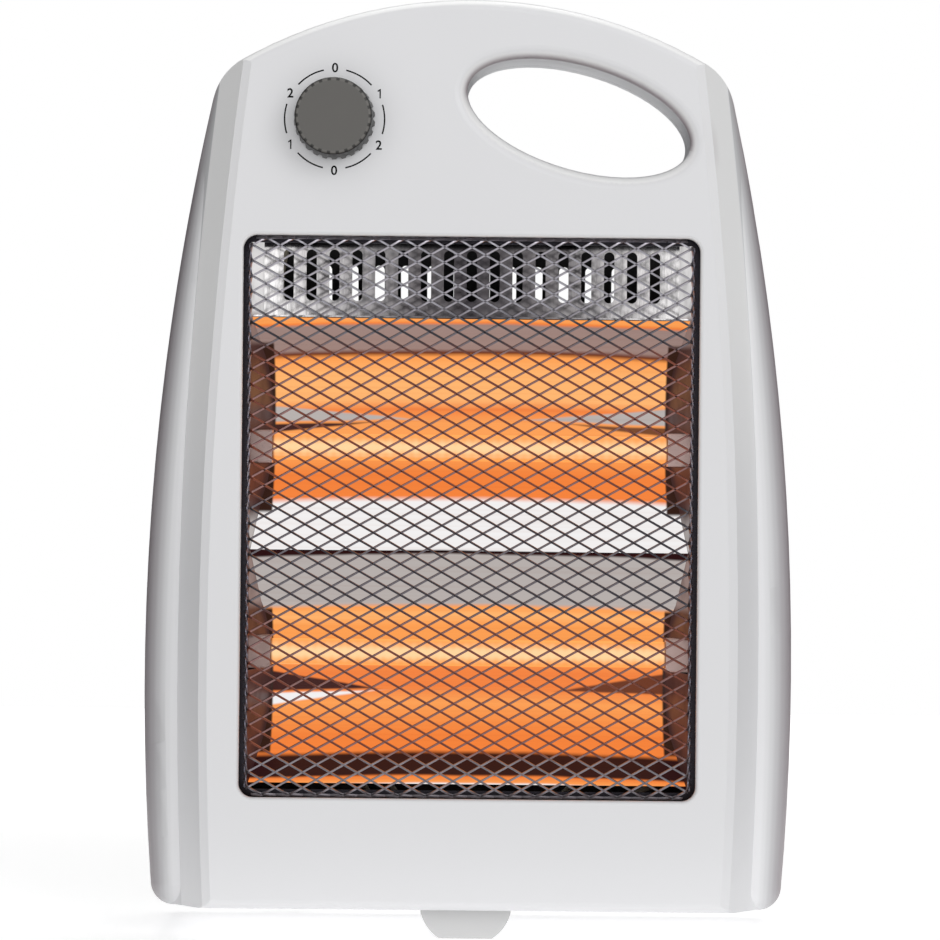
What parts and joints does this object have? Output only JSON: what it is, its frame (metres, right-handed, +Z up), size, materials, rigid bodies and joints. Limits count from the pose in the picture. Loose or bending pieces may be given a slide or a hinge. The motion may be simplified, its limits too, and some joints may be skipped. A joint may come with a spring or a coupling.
{
  "type": "quartz heater",
  "caption": "Portable quartz heater: arched plastic case with a carry hole, metal guard over reflector-backed heating tubes, a rotary dial and a sprung tip-over foot.",
  "frame": {"origin": "middle of the flat underside that the heater stands on", "axes": "+Z up, the guard and dial face -Y, +X to the right as seen from the front"},
  "size_m": [0.245, 0.1188, 0.3533],
  "materials": {
    "case_plastic": "moulded, fine satin grain",
    "knob_plastic": "moulded, fluted",
    "guard_steel": "bright expanded metal",
    "plate_steel": "bare sheet",
    "reflector_aluminium": "polished sheet",
    "quartz": "clear quartz",
    "heating_wire": "bright resistance wire",
    "ceramic": "glazed ceramic",
    "zinc_steel": "zinc plated",
    "tab_brass": "tinned tab",
    "dark_plastic": "moulded",
    "foot_plastic": "moulded",
    "gland_rubber": "moulded",
    "lead_sleeve": "woven heat sleeve"
  },
  "bodies": {
    "heater": {"box_screws": "zinc_steel", "cable_gland": "gland_rubber", "cap_terminals": "tab_brass", "case_screws": "zinc_steel", "cutout_lead": "lead_sleeve", "cutout_terminals": "tab_brass", "dial_lead": "lead_sleeve", "front_case": "case_plastic", "guard_frame": "plate_steel", "guard_mesh": "guard_steel", "left_side_plate": "plate_steel", "live_lead": "lead_sleeve", "lower_filament": "heating_wire", "lower_left_cap": "ceramic", "lower_quartz_tube": "quartz", "lower_reflector": "reflector_aluminium", "lower_right_cap": "ceramic", "lower_tube_lead": "lead_sleeve", "neutral_lead": "lead_sleeve", "rear_case": "case_plastic", "right_side_plate": "plate_steel", "slotted_plate": "reflector_aluminium", "switch_body": "dark_plastic", "switch_screws": "zinc_steel", "switch_terminals": "tab_brass", "terminal_block": "dark_plastic", "thermal_cutout": "zinc_steel", "tip_over_screws": "zinc_steel", "tip_over_spring": "zinc_steel", "tip_over_switch": "dark_plastic", "tip_over_terminals": "tab_brass", "tube_link": "lead_sleeve", "upper_filament": "heating_wire", "upper_left_cap": "ceramic", "upper_quartz_tube": "quartz", "upper_reflector": "reflector_aluminium", "upper_right_cap": "ceramic", "upper_tube_lead": "lead_sleeve"},
    "knob": {"knob": "knob_plastic", "switch_shaft": "plate_steel"},
    "foot": {"tip_over_foot": "foot_plastic"}
  },
  "joints": [
    {"name": "dial_turn", "type": "hinge", "parent": "heater", "child": "knob", "pos_m": [-0.0519, -0.055, 0.2965], "axis": [0, 1, 0], "continuous": true},
    {"name": "foot_press", "type": "slide", "parent": "heater", "child": "foot", "axis": [0, 0, 1], "range_m": [0, 0.0108], "stiffness_N_per_m": 100, "springref_m": -0.01, "deforming": ["tip_over_spring"]}
  ]
}
